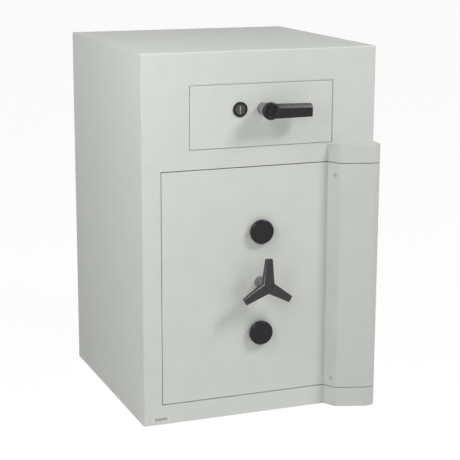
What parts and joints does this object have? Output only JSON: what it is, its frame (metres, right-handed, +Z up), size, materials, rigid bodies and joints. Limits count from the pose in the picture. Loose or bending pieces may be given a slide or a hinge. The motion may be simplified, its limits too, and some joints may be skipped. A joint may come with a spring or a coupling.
{
  "type": "deposit safe",
  "caption": "Floor-standing deposit safe: hinged main door with spoke handle and bolt work, hinge column, and a lever-latched deposit drawer with a tipping floor.",
  "frame": {"origin": "centre of the body's footprint, on the floor", "axes": "+Z up; the front with its door and drawer faces -Y; +X is to the right as seen from the front"},
  "size_m": [0.6, 0.6495, 0.9],
  "materials": {
    "body_paint": "light warm grey stoved paint, satin, with a faint orange-peel texture",
    "inside_paint": "light grey paint, satin",
    "steel": "mill finish steel",
    "bright_steel": "turned bright steel",
    "zinc_steel": "zinc plated steel",
    "bronze": "bearing bronze, satin",
    "lock_brass": "cast and milled brass",
    "plate_aluminium": "bare plate, satin",
    "plug_grey": "matt",
    "satin_grey": "dark grey moulded plastic, satin",
    "black_plastic": "black moulded plastic, fine grain",
    "handle_black": "black moulded plastic over a metal core, satin",
    "fill": "cast barrier fill, matt"
  },
  "bodies": {
    "safe_body": {"outer_casing": "body_paint", "front_frame": "body_paint", "barrier_fill": "fill", "inner_liner": "inside_paint", "liner_floor": "inside_paint", "keeper_left": "steel", "keeper_right": "steel", "head_keeper": "steel", "hinge_block_top": "body_paint", "hinge_block_bottom": "body_paint", "hinge_pins": "bright_steel", "thrust_washer": "bronze", "rating_plate": "plate_aluminium", "shelf": "inside_paint", "shelf_pins": "steel", "drawer_housing": "inside_paint", "runner_fixed": "zinc_steel", "fishing_baffle": "steel"},
    "door": {"door_plate": "body_paint", "hardplate": "steel", "door_fill": "fill", "door_pan": "inside_paint", "door_back_cover": "inside_paint", "cover_screws": "zinc_steel", "hinge_tube": "steel", "hinge_bushes": "bronze", "column_cover": "body_paint", "column_plugs": "plug_grey", "dog_bolts": "bright_steel", "key_tubes": "steel", "lock_cases": "lock_brass", "escutcheon_upper": "black_plastic", "escutcheon_lower": "black_plastic", "spindle_bush": "satin_grey"},
    "handle": {"spoke_handle": "handle_black", "handle_cap": "black_plastic", "handle_spindle": "bright_steel", "pinion": "steel"},
    "side_bolt_work": {"side_bolt_bar": "steel", "side_bolts": "bright_steel"},
    "top_bolt_work": {"top_bolt": "bright_steel"},
    "bottom_bolt_work": {"bottom_bolt": "bright_steel"},
    "upper_lock_bolt": {"lock_bolt_upper": "lock_brass"},
    "lower_lock_bolt": {"lock_bolt_lower": "lock_brass"},
    "upper_key_cover": {"key_cover_upper": "black_plastic"},
    "lower_key_cover": {"key_cover_lower": "black_plastic"},
    "drawer": {"drawer_front": "body_paint", "drawer_standoffs": "zinc_steel", "drawer_box": "inside_paint", "floor_pin": "bright_steel", "runner_drawer": "zinc_steel", "lever_boss": "satin_grey", "drawer_lock": "black_plastic"},
    "runner_middle_pair": {"runner_middle": "zinc_steel"},
    "tipping_floor": {"drawer_floor": "inside_paint"},
    "drawer_lever": {"lever_handle": "handle_black", "lever_cap": "black_plastic", "lever_spindle": "bright_steel", "latch_cam": "zinc_steel"},
    "drawer_lock_plug": {"lock_plug": "black_plastic"}
  },
  "joints": [
    {"name": "door_hinge", "type": "hinge", "parent": "safe_body", "child": "door", "pos_m": [0.271, -0.324, 0.3355], "axis": [0, 0, 1], "range_deg": [0, 170]},
    {"name": "handle_turn", "type": "hinge", "parent": "door", "child": "handle", "pos_m": [0, -0.295, 0.3355], "axis": [0, 1, 0], "range_deg": [0, 90]},
    {"name": "side_bolt_throw", "type": "slide", "parent": "door", "child": "side_bolt_work", "axis": [-1, 0, 0], "range_m": [0, 0.0259]},
    {"name": "top_bolt_throw", "type": "slide", "parent": "door", "child": "top_bolt_work", "axis": [0, 0, 1], "range_m": [0, 0.026]},
    {"name": "bottom_bolt_throw", "type": "slide", "parent": "door", "child": "bottom_bolt_work", "axis": [0, 0, -1], "range_m": [0, 0.026]},
    {"name": "upper_lock_throw", "type": "slide", "parent": "door", "child": "upper_lock_bolt", "axis": [-1, 0, 0], "range_m": [0, 0.01]},
    {"name": "lower_lock_throw", "type": "slide", "parent": "door", "child": "lower_lock_bolt", "axis": [1, 0, 0], "range_m": [0, 0.01]},
    {"name": "upper_cover_swing", "type": "hinge", "parent": "door", "child": "upper_key_cover", "pos_m": [0, -0.295, 0.4815], "axis": [0, 1, 0], "range_deg": [0, 120]},
    {"name": "lower_cover_swing", "type": "hinge", "parent": "door", "child": "lower_key_cover", "pos_m": [0, -0.295, 0.2275], "axis": [0, 1, 0], "range_deg": [0, 120]},
    {"name": "drawer_slide", "type": "slide", "parent": "safe_body", "child": "drawer", "axis": [0, -1, 0], "range_m": [0, 0.25]},
    {"name": "runner_slide", "type": "slide", "parent": "safe_body", "child": "runner_middle_pair", "axis": [0, -1, 0], "range_m": [0, 0.125]},
    {"name": "floor_tip", "type": "hinge", "parent": "drawer", "child": "tipping_floor", "pos_m": [0, -0.243, 0.71], "axis": [1, 0, 0], "range_deg": [0, 35]},
    {"name": "lever_turn", "type": "hinge", "parent": "drawer", "child": "drawer_lever", "pos_m": [0.003, -0.295, 0.76075], "axis": [0, 1, 0], "range_deg": [0, 90]},
    {"name": "lock_plug_turn", "type": "hinge", "parent": "drawer", "child": "drawer_lock_plug", "pos_m": [-0.055, -0.295, 0.76075], "axis": [0, 1, 0], "range_deg": [0, 90]}
  ],
  "couplings": [
    {"joint": "handle_turn", "follows": "side_bolt_throw", "rad_per_m": 60.606},
    {"joint": "top_bolt_throw", "follows": "side_bolt_throw", "ratio": 1},
    {"joint": "bottom_bolt_throw", "follows": "side_bolt_throw", "ratio": 1},
    {"joint": "runner_slide", "follows": "drawer_slide", "ratio": 0.5},
    {"joint": "floor_tip", "follows": "drawer_slide", "rad_per_m": 2.4434}
  ]
}
